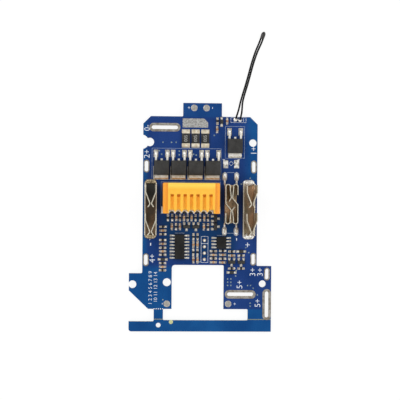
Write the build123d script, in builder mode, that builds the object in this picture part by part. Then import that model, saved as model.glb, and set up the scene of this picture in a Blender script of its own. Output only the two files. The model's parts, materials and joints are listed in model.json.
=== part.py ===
"""Battery management board: a routed circuit board that carries two blade
terminals, a charge terminal, a seven-way connector, five power transistors,
shunts, control chips and a thermistor on two loose leads."""
import os
from math import cos, pi, radians, tan

from build123d import *

os.makedirs("parts", exist_ok=True)

# Heights, with the lowest solder points at zero
SOLDER_DROP = 0.9
BOARD_T = 1.6
BOTTOM = SOLDER_DROP
TOP = BOTTOM + BOARD_T
PAD_T = 0.1

# Board outline, seen from above with the thermistor at the head
WING_REACH = 28.5
BODY_LEFT = -23.2
BODY_RIGHT = 22.6
HEAD = 40.3
TAB_REACH = 5.4
TAB_HEAD = HEAD + TAB_REACH
FOOT = -45.7
TAB_LEFT = -7.3
TAB_RIGHT = 8.2
CORNER_CUT = 3.0
LEFT_SHOULDER = -22.5
LEFT_WING_FOOT = -29.35
LEG_FOOT = -36.7
LEG_SLOPE_END = -20.8
RIGHT_SHOULDER = -19.35
NECK_LEFT = -18.5
NECK_RIGHT = -14.8
STRIP_HEAD_LEFT = -41.7
STRIP_HEAD = -41.2
CUT_LEFT = -11.4
CUT_RIGHT = 9.4
CUT_HEAD = -19.1
CUT_STEP = 19.15
INNER_R = 0.5
CUT_HEAD_R = 1.3
STRIP_CORNER_R = 1.0

# Round holes in the board
UPPER_HOLE = (BODY_RIGHT - 1.85, HEAD - 10.4)
UPPER_HOLE_R = 1.5
RIGHT_HOLE = (WING_REACH - 3.55, RIGHT_SHOULDER - 7.15)
RIGHT_HOLE_R = 1.38
LEG_HOLE_R = 1.6
LEG_HOLE_WALL = 0.35
LEG_HOLE = (CUT_LEFT - LEG_HOLE_WALL - LEG_HOLE_R, CUT_HEAD - 6.95)
STRIP_HOLE_R = 0.95
STRIP_HOLE = ((NECK_LEFT + NECK_RIGHT) / 2, FOOT + 2.5)
NOTCH_R = 2.9
NOTCH_SEAT_R = 1.7
NOTCH = (BODY_LEFT - 0.65, HEAD - 10.3)
NOTCH_SEAT = (BODY_LEFT + 2.65, HEAD - 10.35)
WING_NOTCH_R = 1.55
WING_NOTCH = (-WING_REACH + 1.45, LEFT_SHOULDER - 4.4)

# Break-off line and scored lines across the neck
BITE_R = 0.25
BITE_PITCH = 0.86
BITE_COUNT = 5
SCORE_DEPTH = 0.3
SCORE_W = 0.35
SCORE_Y = STRIP_HEAD + 0.4

# Plated slots: centre, turn, open length, open width and land
SMALL_SLOT_L = 4.2
SMALL_SLOT_W = 1.4
SMALL_LAND = 0.45
LARGE_SLOT_L = 10.5
LARGE_SLOT_W = 1.5
LARGE_LAND = 0.95
PLATING = 0.1
SLOT_INSET = 1.4
WING_SLOT_INSET = 1.75

# Blade terminals
BLADE_X = (BODY_LEFT + 3.1, BODY_RIGHT - 3.45)
BLADE_Y = 3.2
BLADE_W = 4.8
BLADE_L = 20.6
BLADE_H = 9.0
BLADE_LEAN = (0.0, 4.5)
GUARD_H = 3.2
SHEET_T = 0.36
SHEET_BEND = 0.7
EAR_INSET = 0.5
EAR_L = 3.0
EAR_CORNER = 0.9
SPRING_SKIRT = 3.7
SPRING_REACH = 4.7
SPRING_FLARE = 1.3
FLARE_SPREAD = 0.9
PINCH_GAP = 0.15
STATION_PITCH = 11.1
TAB_W = 2.4
TAB_SEAT = 0.12
TAB_DROP = 0.5
CAP_REACH = 1.6
CAP_H = 1.1
CAP_ROUND = 0.7

# Charge terminal
CHARGE_X = 11.9
CHARGE_Y = 5.4
CHARGE_H = 7.6
CHARGE_T = 0.3
CHARGE_LIFT = 0.8
CHARGE_HALF_W = 2.37
CHARGE_HALF_L = 7.9
HAIRPIN_R = 0.85
CHARGE_PINCH_Y = 2.4
CHARGE_TIP_Y = 1.1
CHARGE_TIP_SPREAD = 0.85
CHARGE_WALL_END = 0.2
FREE_LIMB = 4.1
FLOOR_L = 15.2
FLOOR_GAP = 0.25
BRIDGE_L = 2.2
STRIP_BEND = 0.5
LIMB_BEND = 1.5
LEG_H = 1.3
LEG_GAP = 0.325
PIN_W = 0.9
PIN_INSET = 0.55
LEG_PAD_L = 3.6
LEG_PAD_W = 1.9
LEG_PAD_H = 0.95
PIN_HOLE_R = 0.62
POINT_R = 0.9
POINT_TIP_R = 0.4
POINT_SLOPE = 29.0
SOLDER_SLOPE = 30.0

# Seven-way connector
WAYS = 7
WAY_PITCH = 2.54
CONN_X = -4.05
CONN_FRONT = 1.5
CONN_L = 12.15
CONN_W = 22.5
CONN_H = 8.6
GROOVE_W = 1.3
GROOVE_DEPTH = 1.3
GROOVE_START = 4.5
GROOVE_SET_BACK = 1.5
NOSE_L = 1.0
POCKET_L = 0.9
POCKET_DEPTH = 0.9
SHOULDER_W = 1.9
SHOULDER_DROP = 1.3
CONN_EDGE = 0.4
SKIRT_T = 0.8
BASE_H = 2.6
BASE_FIT = 0.06
LUG_REACH = 0.5
LUG_L = 2.8
MOUTH_R = 0.95
CONTACT_T = 0.4
CONTACT_W = 1.7
CONTACT_FIT = 0.08
PIN_T = 0.4

# Power transistors: body, tab and leads
POWER_W = 6.2
POWER_L = 5.9
POWER_H = 2.3
POWER_Y = 19.7
POWER_FIRST_X = BODY_LEFT + 7.4
POWER_PITCH = 6.84
POWER_COUNT = 4
LONE_POWER = (13.55, 28.6)
POWER_LEAD_PITCH = 4.57
POWER_LEAD_W = 0.8
POWER_LEAD_T = 0.5
POWER_LEAD_RISE = 0.55
POWER_LEAD_REACH = 3.4
POWER_TAB_W = 5.3
POWER_TAB_REACH = 1.1
POWER_PAD_W = 1.8
POWER_PAD_L = 3.0
POWER_PAD_START = 1.25
POWER_LAND = 1.8
POWER_DRAFT = 7.0
POWER_HEEL = 0.9
POWER_STUB = 0.7
DIMPLE_R = 0.6
DIMPLE_DEPTH = 0.15
DIMPLE_OFFSET = 1.4
PIN_MARK_R = 0.4

# Shunt resistors and the tinned plane above them
SHUNT_X = -2.3
SHUNT_Y = 31.5
SHUNT_PITCH = 3.87
SHUNT_COUNT = 3
SHUNT_L = 6.4
SHUNT_W = 3.2
SHUNT_H = 0.7
SHUNT_CAP = 0.75
SHUNT_FILLET = 0.45
PLANE_LEFT = -7.5
PLANE_RIGHT = 2.7
PLANE_HEAD = HEAD - 0.8
PLANE_FOOT = 35.9
PLANE_CUT = 1.6

# Control chips
CHIP_W = 3.9
CHIP_H = 1.4
CHIP_STANDOFF = 0.12
CHIP_LEAD_PITCH = 1.27
CHIP_LEAD_W = 0.42
CHIP_LEAD_T = 0.2
CHIP_LEAD_REACH = 1.05
CHIP_PAD_W = 0.7
CHIP_PAD_L = 1.6
CHIP_PAD_START = 0.35
CHIP_END = 0.52
CHIP_DRAFT = 8.0
CONTROLLER = (-8.4, -11.8)
CONTROLLER_LEAD_COUNT = 8
DRIVER = (8.3, -10.1)
DRIVER_LEAD_COUNT = 4

# Small transistors and signal diodes
SMALL_W = 2.9
SMALL_L = 1.35
SMALL_H = 0.95
SMALL_LEAD_PITCH = 1.9
SMALL_LEAD_W = 0.42
SMALL_LEAD_REACH = 0.6
SMALL_PAD_W = 1.0
SMALL_PAD_L = 1.0
SMALL_PAD_START = 0.1
DIODE_L = 1.75
DIODE_W = 1.3
DIODE_H = 0.95
DIODE_LEAD_W = 0.6

# Small two-ended chips
CHIP2_L = 1.6
CHIP2_W = 0.85
RESISTOR_H = 0.45
CAPACITOR_H = 0.8
CHIP2_CAP = 0.35
CHIP2_FILLET = 0.65
FILLET_FOOT = 0.08

# Pads for the lamps, the programming header and a spare part
LAMP_PAD_R = 1.3
LAMP_PAD_H = 0.12
HEADER_X = 1.58
HEADER_HEAD_Y = -9.23
HEADER_PITCH = 2.54
HEADER_COUNT = 4
HEADER_HOLE_R = 0.45
HEADER_PAD_R = 0.65
HEADER_PAD_H = 0.2
SPARE_PADS = ((9.85, 21.4), (14.25, 21.4))
SPARE_PAD_W = 2.0
SPARE_PAD_L = 3.3

# Thermistor
LEAD_D = 0.7
BEAD_D = 1.76
BEAD_L = 3.0
BEAD_NECK_D = 1.6
BEAD_BELLY = 0.55
BLOB_R = 0.85
BLOB_H = 1.15
BLOB_ROUND = 0.5


def save(part, name):
    """Label a finished sub-part and write it to its own file."""
    part.label = name
    export_step(part, f"parts/{name}.step")


def board_plane(x, y, z=TOP, turn=0.0):
    """A level plane at a place on the board, turned about the vertical."""
    return Plane((x, y, z)).rotated((0, 0, turn))


def across_plane(x, y, z=TOP):
    """An upright plane whose own axes are the board's X and the vertical."""
    return Plane((x, y, z), x_dir=(1, 0, 0), z_dir=(0, -1, 0))


def along_plane(x, y, z=TOP):
    """An upright plane whose own axes are the board's Y and the vertical."""
    return Plane((x, y, z), x_dir=(0, 1, 0), z_dir=(1, 0, 0))


# Slots in the board: name, centre, turn, length, width and land
small = (SMALL_SLOT_L, SMALL_SLOT_W, SMALL_LAND)
large = (LARGE_SLOT_L, LARGE_SLOT_W, LARGE_LAND)
slots = [
    ("slot_lining_head", BODY_LEFT + 8.6, HEAD - 4.4, 0, *large),
    ("slot_lining_upper_left", BODY_LEFT + SLOT_INSET, 20.3, 90, *small),
    ("slot_lining_upper_right", BODY_RIGHT - SLOT_INSET, 20.3, 90, *small),
    ("slot_lining_lower_left", BODY_LEFT + SLOT_INSET, -17.1, 90, *small),
    ("slot_lining_lower_right", BODY_RIGHT - SLOT_INSET, -16.7, 90, *small),
    ("slot_lining_wing", WING_REACH - WING_SLOT_INSET, RIGHT_SHOULDER - 3.25, 90, *small),
    ("slot_lining_wing_long", WING_REACH - WING_SLOT_INSET, RIGHT_SHOULDER - 15.45, 90, *large),
    ("slot_lining_leg", CUT_RIGHT + 6.7, RIGHT_SHOULDER - 11.4, 0, *large),
]

# Places that several pieces share
blade_tab_y = [BLADE_Y + side * (BLADE_L - SHEET_T) / 2 for side in (1, -1)]
controller_l = (CONTROLLER_LEAD_COUNT - 1) * CHIP_LEAD_PITCH + 2 * CHIP_END
driver_l = (DRIVER_LEAD_COUNT - 1) * CHIP_LEAD_PITCH + 2 * CHIP_END
pin_reach = CHARGE_Y - DRIVER[1] - driver_l / 2 - LEG_GAP - LEG_PAD_L / 2
leg_reach = pin_reach + PIN_INSET
charge_pins = [
    (CHARGE_X + sx * CHARGE_HALF_W, CHARGE_Y + sy * pin_reach)
    for sx in (1, -1)
    for sy in (1, -1)
]
way_x = [CONN_X + (i - (WAYS - 1) / 2) * WAY_PITCH for i in range(WAYS)]
conn_back = CONN_FRONT + CONN_L
groove_end = conn_back - GROOVE_START
conn_pin_y = groove_end - POCKET_L / 2
header_y = [HEADER_HEAD_Y - i * HEADER_PITCH for i in range(HEADER_COUNT)]
power_places = [(POWER_FIRST_X + i * POWER_PITCH, POWER_Y) for i in range(POWER_COUNT)]
power_places.append(LONE_POWER)
shunt_x = [SHUNT_X + (i - (SHUNT_COUNT - 1) / 2) * SHUNT_PITCH for i in range(SHUNT_COUNT)]


# Circuit board
outline_corners = [
    ((-WING_REACH, FOOT), STRIP_CORNER_R),
    ((WING_REACH, FOOT), 0),
    ((WING_REACH, RIGHT_SHOULDER), 0),
    ((BODY_RIGHT, RIGHT_SHOULDER), INNER_R),
    ((BODY_RIGHT, HEAD - CORNER_CUT), 0),
    ((BODY_RIGHT - CORNER_CUT, HEAD), 0),
    ((TAB_RIGHT, HEAD), INNER_R),
    ((TAB_RIGHT, TAB_HEAD), 0),
    ((TAB_LEFT, TAB_HEAD), 0),
    ((TAB_LEFT, HEAD), INNER_R),
    ((BODY_LEFT + CORNER_CUT, HEAD), 0),
    ((BODY_LEFT, HEAD - CORNER_CUT), 0),
    ((BODY_LEFT, LEFT_SHOULDER), INNER_R),
    ((-WING_REACH, LEFT_SHOULDER), 0),
    ((-WING_REACH, LEFT_WING_FOOT), 0),
    ((LEG_SLOPE_END, LEG_FOOT), 0),
    ((NECK_LEFT, LEG_FOOT), INNER_R),
    ((NECK_LEFT, STRIP_HEAD_LEFT), INNER_R),
    ((-WING_REACH, STRIP_HEAD_LEFT), 0),
]
cut_corners = [
    ((CUT_LEFT, CUT_HEAD), CUT_HEAD_R),
    ((CUT_RIGHT, CUT_HEAD), INNER_R),
    ((CUT_RIGHT, LEG_FOOT), 0),
    ((CUT_STEP, LEG_FOOT), INNER_R),
    ((CUT_STEP, STRIP_HEAD), INNER_R),
    ((NECK_RIGHT, STRIP_HEAD), INNER_R),
    ((NECK_RIGHT, LEG_FOOT), INNER_R),
    ((CUT_LEFT, LEG_FOOT), 0),
]
round_holes = [
    (UPPER_HOLE, UPPER_HOLE_R),
    (RIGHT_HOLE, RIGHT_HOLE_R),
    (LEG_HOLE, LEG_HOLE_R),
    (STRIP_HOLE, STRIP_HOLE_R),
    (NOTCH, NOTCH_R),
    (NOTCH_SEAT, NOTCH_SEAT_R),
    (WING_NOTCH, WING_NOTCH_R),
]
with BuildPart() as circuit_board:
    with BuildSketch(Plane.XY.offset(BOTTOM)):
        with BuildLine():
            FilletPolyline(
                *[point for point, _ in outline_corners],
                radius=[radius for _, radius in outline_corners],
                close=True,
            )
        make_face()
        with BuildLine():
            FilletPolyline(
                *[point for point, _ in cut_corners],
                radius=[radius for _, radius in cut_corners],
                close=True,
            )
        make_face(mode=Mode.SUBTRACT)
        for centre, radius in round_holes:
            with Locations(centre):
                Circle(radius, mode=Mode.SUBTRACT)
        for _, x, y, turn, length, width, _ in slots:
            with Locations((x, y)):
                SlotOverall(length + 2 * PLATING, width + 2 * PLATING, turn, mode=Mode.SUBTRACT)
        with Locations(*[(x, y) for x in BLADE_X for y in blade_tab_y]):
            Rectangle(TAB_W + 2 * TAB_SEAT, SHEET_T + 2 * TAB_SEAT, mode=Mode.SUBTRACT)
        with Locations(*charge_pins, *[(x, conn_pin_y) for x in way_x]):
            Circle(PIN_HOLE_R, mode=Mode.SUBTRACT)
        with Locations(*[(HEADER_X, y) for y in header_y]):
            Circle(HEADER_HOLE_R, mode=Mode.SUBTRACT)
        with Locations(((NECK_LEFT + NECK_RIGHT) / 2, LEG_FOOT)):
            with GridLocations(BITE_PITCH, 1, BITE_COUNT, 1):
                Circle(BITE_R, mode=Mode.SUBTRACT)
    extrude(amount=BOARD_T)
    with BuildSketch(along_plane(-WING_REACH, SCORE_Y)):
        for height in (0, -BOARD_T):
            with Locations((0, height)):
                Rectangle(SCORE_W, 2 * SCORE_DEPTH)
    extrude(amount=2 * WING_REACH, mode=Mode.SUBTRACT)
save(circuit_board.part, "circuit_board")


# Plated lining of each slot, with a tinned land on both faces
for name, x, y, turn, length, width, land in slots:
    with BuildPart() as slot_lining:
        with BuildSketch(board_plane(x, y, BOTTOM, turn)):
            SlotOverall(length + 2 * PLATING, width + 2 * PLATING)
            SlotOverall(length, width, mode=Mode.SUBTRACT)
        extrude(amount=BOARD_T)
        for height in (BOTTOM - PAD_T, TOP):
            with BuildSketch(board_plane(x, y, height, turn)):
                SlotOverall(length + 2 * land, width + 2 * land)
                SlotOverall(length, width, mode=Mode.SUBTRACT)
            extrude(amount=PAD_T)
    save(slot_lining.part, name)


# Tinned plane beside the shunts
with BuildPart() as tinned_plane:
    with BuildSketch(Plane.XY.offset(TOP)):
        with BuildLine():
            Polyline(
                (PLANE_LEFT, PLANE_FOOT),
                (PLANE_RIGHT, PLANE_FOOT),
                (PLANE_RIGHT, PLANE_HEAD - PLANE_CUT),
                (PLANE_RIGHT - PLANE_CUT, PLANE_HEAD),
                (PLANE_LEFT, PLANE_HEAD),
                close=True,
            )
        make_face()
    extrude(amount=PAD_T)
save(tinned_plane.part, "tinned_plane")


# Round pads for the lamps, on the tab and on both legs
lamp_pads_at = [
    (TAB_LEFT + 4.4, TAB_HEAD - 1.95),
    (TAB_RIGHT - 6.2, TAB_HEAD - 1.95),
    (CUT_LEFT - 1.9, LEG_FOOT + 2.05),
    (CUT_RIGHT + 1.85, LEG_FOOT + 2.1),
]
with BuildPart() as lamp_pads:
    with BuildSketch(Plane.XY.offset(TOP)):
        with Locations(*lamp_pads_at):
            Circle(LAMP_PAD_R)
    extrude(amount=LAMP_PAD_H)
    crowns = lamp_pads.faces().sort_by(Axis.Z)[-len(lamp_pads_at):]
    chamfer(crowns.edges(), LAMP_PAD_H * 0.8, LAMP_PAD_H * 1.8)
save(lamp_pads.part, "lamp_pads")


# Solder-filled holes of the programming header
with BuildPart() as header_plugs:
    with BuildSketch(Plane.XY.offset(BOTTOM)):
        with Locations(*[(HEADER_X, y) for y in header_y]):
            Circle(HEADER_HOLE_R)
    extrude(amount=BOARD_T)
    for height in (BOTTOM - HEADER_PAD_H, TOP):
        with BuildSketch(Plane.XY.offset(height)):
            with Locations(*[(HEADER_X, y) for y in header_y]):
                Circle(HEADER_PAD_R)
        extrude(amount=HEADER_PAD_H)
save(header_plugs.part, "header_plugs")


# Bare pads of the part that is not fitted
with BuildPart() as spare_pads:
    with BuildSketch(Plane.XY.offset(TOP)):
        with Locations(*SPARE_PADS):
            Rectangle(SPARE_PAD_W, SPARE_PAD_L)
    extrude(amount=PAD_T)
save(spare_pads.part, "spare_pads")


# Blade terminals: a folded channel with low guards and two pairs of springs
def blade_terminal(x, y, lean):
    """One terminal, folded from sheet, with tabs through the board."""
    wall_x = (BLADE_W - SHEET_T) / 2
    pinch_x = (SHEET_T + PINCH_GAP) / 2
    head = BLADE_L / 2 - EAR_INSET
    stations = [head, head - STATION_PITCH]
    with BuildPart() as terminal:
        with BuildSketch(board_plane(x, y).rotated((0, lean, 0))):
            for start in stations:
                bend = start - EAR_L
                pinch = bend - SPRING_REACH
                with BuildLine():
                    FilletPolyline(
                        (wall_x - SHEET_T / 2, start),
                        (wall_x - SHEET_T / 2, bend),
                        (pinch_x, pinch),
                        (pinch_x + FLARE_SPREAD, pinch - SPRING_FLARE),
                        radius=SHEET_BEND,
                    )
                trace(line_width=SHEET_T)
            mirror(about=Plane.YZ)
        extrude(amount=BLADE_H / cos(radians(lean)) + SHEET_T)
        with BuildSketch(along_plane(x, y)):
            for start in stations:
                tip = start - EAR_L - SPRING_REACH - SPRING_FLARE
                with BuildLine():
                    FilletPolyline(
                        (start, SHEET_T),
                        (start, BLADE_H),
                        (tip - SHEET_T, BLADE_H),
                        (tip - SHEET_T, SPRING_SKIRT),
                        (start - EAR_L, SPRING_SKIRT),
                        (start - EAR_L, SHEET_T),
                        radius=[0, EAR_CORNER, EAR_CORNER, 0, 0, 0],
                        close=True,
                    )
                make_face()
        extrude(amount=BLADE_W, both=True, mode=Mode.INTERSECT)
        with BuildSketch(across_plane(x, y)):
            with BuildLine():
                FilletPolyline(
                    (-wall_x, GUARD_H),
                    (-wall_x, SHEET_T / 2),
                    (wall_x, SHEET_T / 2),
                    (wall_x, GUARD_H),
                    radius=SHEET_BEND,
                )
            trace(line_width=SHEET_T)
        extrude(amount=BLADE_L / 2, both=True)
        with BuildSketch(board_plane(x, y, BOTTOM - TAB_DROP)):
            with Locations((0, (BLADE_L - SHEET_T) / 2), (0, (SHEET_T - BLADE_L) / 2)):
                Rectangle(TAB_W, SHEET_T)
        extrude(amount=TAB_DROP + BOARD_T + SHEET_T / 2)
    return terminal.part


def blade_solder(x, y):
    """Solder at the ends of a blade terminal: a cap above, a point below."""
    end = BLADE_L / 2
    with BuildPart() as solder:
        with BuildSketch(board_plane(x, y)):
            RectangleRounded(BLADE_W, BLADE_L + 2 * CAP_REACH, CAP_REACH - 0.1)
            Rectangle(BLADE_W + 1, BLADE_L, mode=Mode.SUBTRACT)
        extrude(amount=CAP_H)
        crown = solder.faces().filter_by(Plane.XY).group_by(Axis.Z)[-1].edges()
        outer = [edge for edge in crown if abs(edge.center().Y - y) > end + TAB_SEAT]
        fillet(outer, CAP_ROUND)
        for tab_y in blade_tab_y:
            with BuildSketch(board_plane(x, tab_y, BOTTOM)):
                SlotOverall(TAB_W + 2 * POINT_R, 2 * POINT_R)
            with BuildSketch(board_plane(x, tab_y, 0)):
                SlotOverall(TAB_W + 2 * POINT_TIP_R, 2 * POINT_TIP_R)
            loft()
            with BuildSketch(board_plane(x, tab_y, BOTTOM - TAB_DROP)):
                Rectangle(TAB_W, SHEET_T)
            extrude(amount=TAB_DROP, mode=Mode.SUBTRACT)
    return solder.part


for name, x, lean in zip(("negative", "positive"), BLADE_X, BLADE_LEAN):
    save(blade_terminal(x, BLADE_Y, lean), f"{name}_terminal")
    save(blade_solder(x, BLADE_Y), f"{name}_terminal_solder")


# Charge terminal: two folded strips, one the other turned half round
limb_x = CHARGE_HALF_W - 2 * HAIRPIN_R
charge_pinch_x = (CHARGE_T + PINCH_GAP) / 2
arch_y = CHARGE_HALF_L - CHARGE_T / 2
arch_round = HAIRPIN_R * 0.95
strip_points = [
    (-charge_pinch_x - CHARGE_TIP_SPREAD, CHARGE_TIP_Y),
    (-charge_pinch_x, CHARGE_PINCH_Y),
    (-limb_x, arch_y - 2 * HAIRPIN_R),
    (-limb_x, arch_y),
    (-CHARGE_HALF_W, arch_y),
    (-CHARGE_HALF_W, CHARGE_WALL_END),
    (-charge_pinch_x, -CHARGE_PINCH_Y),
    (-limb_x, 2 * HAIRPIN_R - arch_y),
    (-limb_x, -arch_y),
    (-CHARGE_HALF_W, -arch_y),
    (-CHARGE_HALF_W, FREE_LIMB - arch_y),
]
strip_radii = [STRIP_BEND, LIMB_BEND, arch_round, arch_round, STRIP_BEND]
strip_radii += [STRIP_BEND, LIMB_BEND, arch_round, arch_round]
with BuildPart() as charge_terminal:
    for turn in (0, 180):
        with BuildSketch(board_plane(CHARGE_X, CHARGE_Y, TOP + CHARGE_LIFT, turn)):
            with BuildLine():
                FilletPolyline(*strip_points, radius=strip_radii)
            trace(line_width=CHARGE_T)
        extrude(amount=CHARGE_H - CHARGE_LIFT)
    with BuildSketch(board_plane(CHARGE_X, CHARGE_Y, TOP + CHARGE_LIFT)):
        with GridLocations(1, BRIDGE_L + CHARGE_HALF_L, 1, 2):
            Rectangle(2 * CHARGE_HALF_W - CHARGE_T, CHARGE_HALF_L)
    extrude(amount=CHARGE_T + FLOOR_GAP, mode=Mode.SUBTRACT)
    with BuildSketch(board_plane(CHARGE_X, CHARGE_Y, TOP + CHARGE_LIFT)):
        Rectangle(2 * CHARGE_HALF_W, FLOOR_L)
    extrude(amount=CHARGE_T)
    leg_start = arch_y - FREE_LIMB / 2
    with BuildSketch(board_plane(CHARGE_X, CHARGE_Y)):
        with GridLocations(2 * CHARGE_HALF_W, leg_start + leg_reach, 2, 2):
            Rectangle(CHARGE_T, leg_reach - leg_start)
    extrude(amount=LEG_H)
    with BuildSketch(Plane.XY.offset(BOTTOM - TAB_DROP)):
        with Locations(*charge_pins):
            Rectangle(CHARGE_T, PIN_W)
    extrude(amount=TAB_DROP + BOARD_T + LEG_H / 2)
save(charge_terminal.part, "charge_terminal")

with BuildPart() as charge_solder:
    with BuildSketch(Plane.XY.offset(TOP)):
        with Locations(*charge_pins):
            SlotOverall(LEG_PAD_L, LEG_PAD_W, 90)
    extrude(amount=LEG_PAD_H, taper=SOLDER_SLOPE)
    add(charge_terminal.part, mode=Mode.SUBTRACT)
    with BuildSketch(Plane.XY.offset(BOTTOM)):
        with Locations(*charge_pins):
            Circle(POINT_R)
    extrude(amount=-SOLDER_DROP, taper=POINT_SLOPE)
    with BuildSketch(Plane.XY.offset(BOTTOM - TAB_DROP)):
        with Locations(*charge_pins):
            Rectangle(CHARGE_T, PIN_W)
    extrude(amount=TAB_DROP, mode=Mode.SUBTRACT)
save(charge_solder.part, "charge_terminal_solder")


# Seven-way connector: a slotted cover on a base, with folded contacts between
cover_floor = TOP + BASE_H + CONTACT_T + CONTACT_FIT
conn_mid = CONN_FRONT + CONN_L / 2
face_y = CONN_FRONT + GROOVE_SET_BACK
with BuildPart() as connector_cover:
    with BuildSketch(board_plane(CONN_X, conn_mid)):
        Rectangle(CONN_W, CONN_L)
    extrude(amount=CONN_H)
    crown = connector_cover.faces().sort_by(Axis.Z)[-1]
    corners = connector_cover.edges().filter_by(Axis.Z)
    fillet(crown.edges() + corners, CONN_EDGE)
    with BuildSketch(board_plane(CONN_X, conn_mid, TOP + CONN_H - SHOULDER_DROP)):
        with GridLocations(CONN_W - SHOULDER_W, 1, 2, 1):
            Rectangle(SHOULDER_W, CONN_L)
    extrude(amount=SHOULDER_DROP, mode=Mode.SUBTRACT)
    with BuildSketch(board_plane(CONN_X, 0)):
        with Locations((0, (CONN_FRONT + face_y) / 2)):
            Rectangle(WAYS * WAY_PITCH, GROOVE_SET_BACK)
    extrude(amount=CONN_H, mode=Mode.SUBTRACT)
    with BuildSketch(Plane.XY.offset(cover_floor)):
        for i in range(WAYS - 1):
            nose_x = (way_x[i] + way_x[i + 1]) / 2
            half = (WAY_PITCH - GROOVE_W) / 2
            with BuildLine():
                Polyline(
                    (nose_x - half, face_y),
                    (nose_x, face_y - NOSE_L),
                    (nose_x + half, face_y),
                    close=True,
                )
            make_face()
    extrude(amount=TOP + CONN_H - cover_floor)
    with BuildSketch(Plane.XY.offset(TOP + CONN_H - GROOVE_DEPTH)):
        with Locations(*[(x, (face_y + groove_end) / 2) for x in way_x]):
            Rectangle(GROOVE_W, groove_end - face_y)
    extrude(amount=GROOVE_DEPTH, mode=Mode.SUBTRACT)
    with BuildSketch(Plane.XY.offset(TOP + CONN_H - GROOVE_DEPTH - POCKET_DEPTH)):
        with Locations(*[(x, groove_end - POCKET_L / 2) for x in way_x]):
            Rectangle(GROOVE_W, POCKET_L)
    extrude(amount=GROOVE_DEPTH + POCKET_DEPTH, mode=Mode.SUBTRACT)
    with BuildSketch(board_plane(CONN_X, 0)):
        with Locations((0, (CONN_FRONT + conn_back - SKIRT_T) / 2)):
            Rectangle(CONN_W - 2 * SKIRT_T, CONN_L - SKIRT_T)
        with Locations((0, CONN_FRONT + LUG_L / 2)):
            Rectangle(CONN_W, LUG_L)
    extrude(amount=cover_floor - TOP, mode=Mode.SUBTRACT)
save(connector_cover.part, "connector_cover")

with BuildPart() as connector_base:
    inner_w = CONN_W - 2 * SKIRT_T - 2 * BASE_FIT
    base_back = conn_back - SKIRT_T - BASE_FIT
    with BuildSketch(board_plane(CONN_X, 0)):
        with Locations((0, (CONN_FRONT + base_back) / 2)):
            Rectangle(inner_w, base_back - CONN_FRONT)
        with Locations((0, CONN_FRONT + (LUG_L - BASE_FIT) / 2)):
            Rectangle(CONN_W + 2 * LUG_REACH, LUG_L - BASE_FIT)
        with Locations(*[(x - CONN_X, CONN_FRONT) for x in way_x]):
            Circle(MOUTH_R, mode=Mode.SUBTRACT)
        with Locations(*[(x - CONN_X, conn_pin_y) for x in way_x]):
            Rectangle(PIN_W + 2 * BASE_FIT, PIN_T + 2 * BASE_FIT, mode=Mode.SUBTRACT)
    extrude(amount=BASE_H)
save(connector_base.part, "connector_base")

with BuildPart() as connector_contacts:
    lip_y = CONN_FRONT + MOUTH_R
    back_y = conn_pin_y + PIN_T / 2
    with BuildSketch(Plane.XY.offset(TOP + BASE_H)):
        with Locations(*[(x, (lip_y + back_y) / 2) for x in way_x]):
            Rectangle(CONTACT_W, back_y - lip_y)
    extrude(amount=CONTACT_T)
    with BuildSketch(Plane.XY.offset(BOTTOM - TAB_DROP)):
        with Locations(*[(x, conn_pin_y) for x in way_x]):
            Rectangle(PIN_W, PIN_T)
    extrude(amount=TAB_DROP + BOARD_T + BASE_H)
save(connector_contacts.part, "connector_contacts")

with BuildPart() as connector_solder:
    with BuildSketch(Plane.XY.offset(BOTTOM)):
        with Locations(*[(x, conn_pin_y) for x in way_x]):
            Circle(POINT_R)
    extrude(amount=-SOLDER_DROP, taper=POINT_SLOPE)
    with BuildSketch(Plane.XY.offset(BOTTOM - TAB_DROP)):
        with Locations(*[(x, conn_pin_y) for x in way_x]):
            Rectangle(PIN_W, PIN_T)
    extrude(amount=TAB_DROP, mode=Mode.SUBTRACT)
save(connector_solder.part, "connector_solder")


def bent_lead(plane, start, height, reach, thick, width):
    """A gull-wing lead: out of the body, down, and out again along the board."""
    knee = start + reach * 0.35
    heel = knee + thick * 0.6
    with BuildSketch(plane) as side:
        with BuildLine():
            Polyline(
                (start, height),
                (knee, height),
                (heel, thick),
                (heel, 0),
                (start + reach, 0),
                (start + reach, thick),
                (heel + thick, thick),
                (knee + thick, height + thick),
                (start, height + thick),
                close=True,
            )
        make_face()
    extrude(side.sketch, amount=width / 2, both=True)


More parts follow.
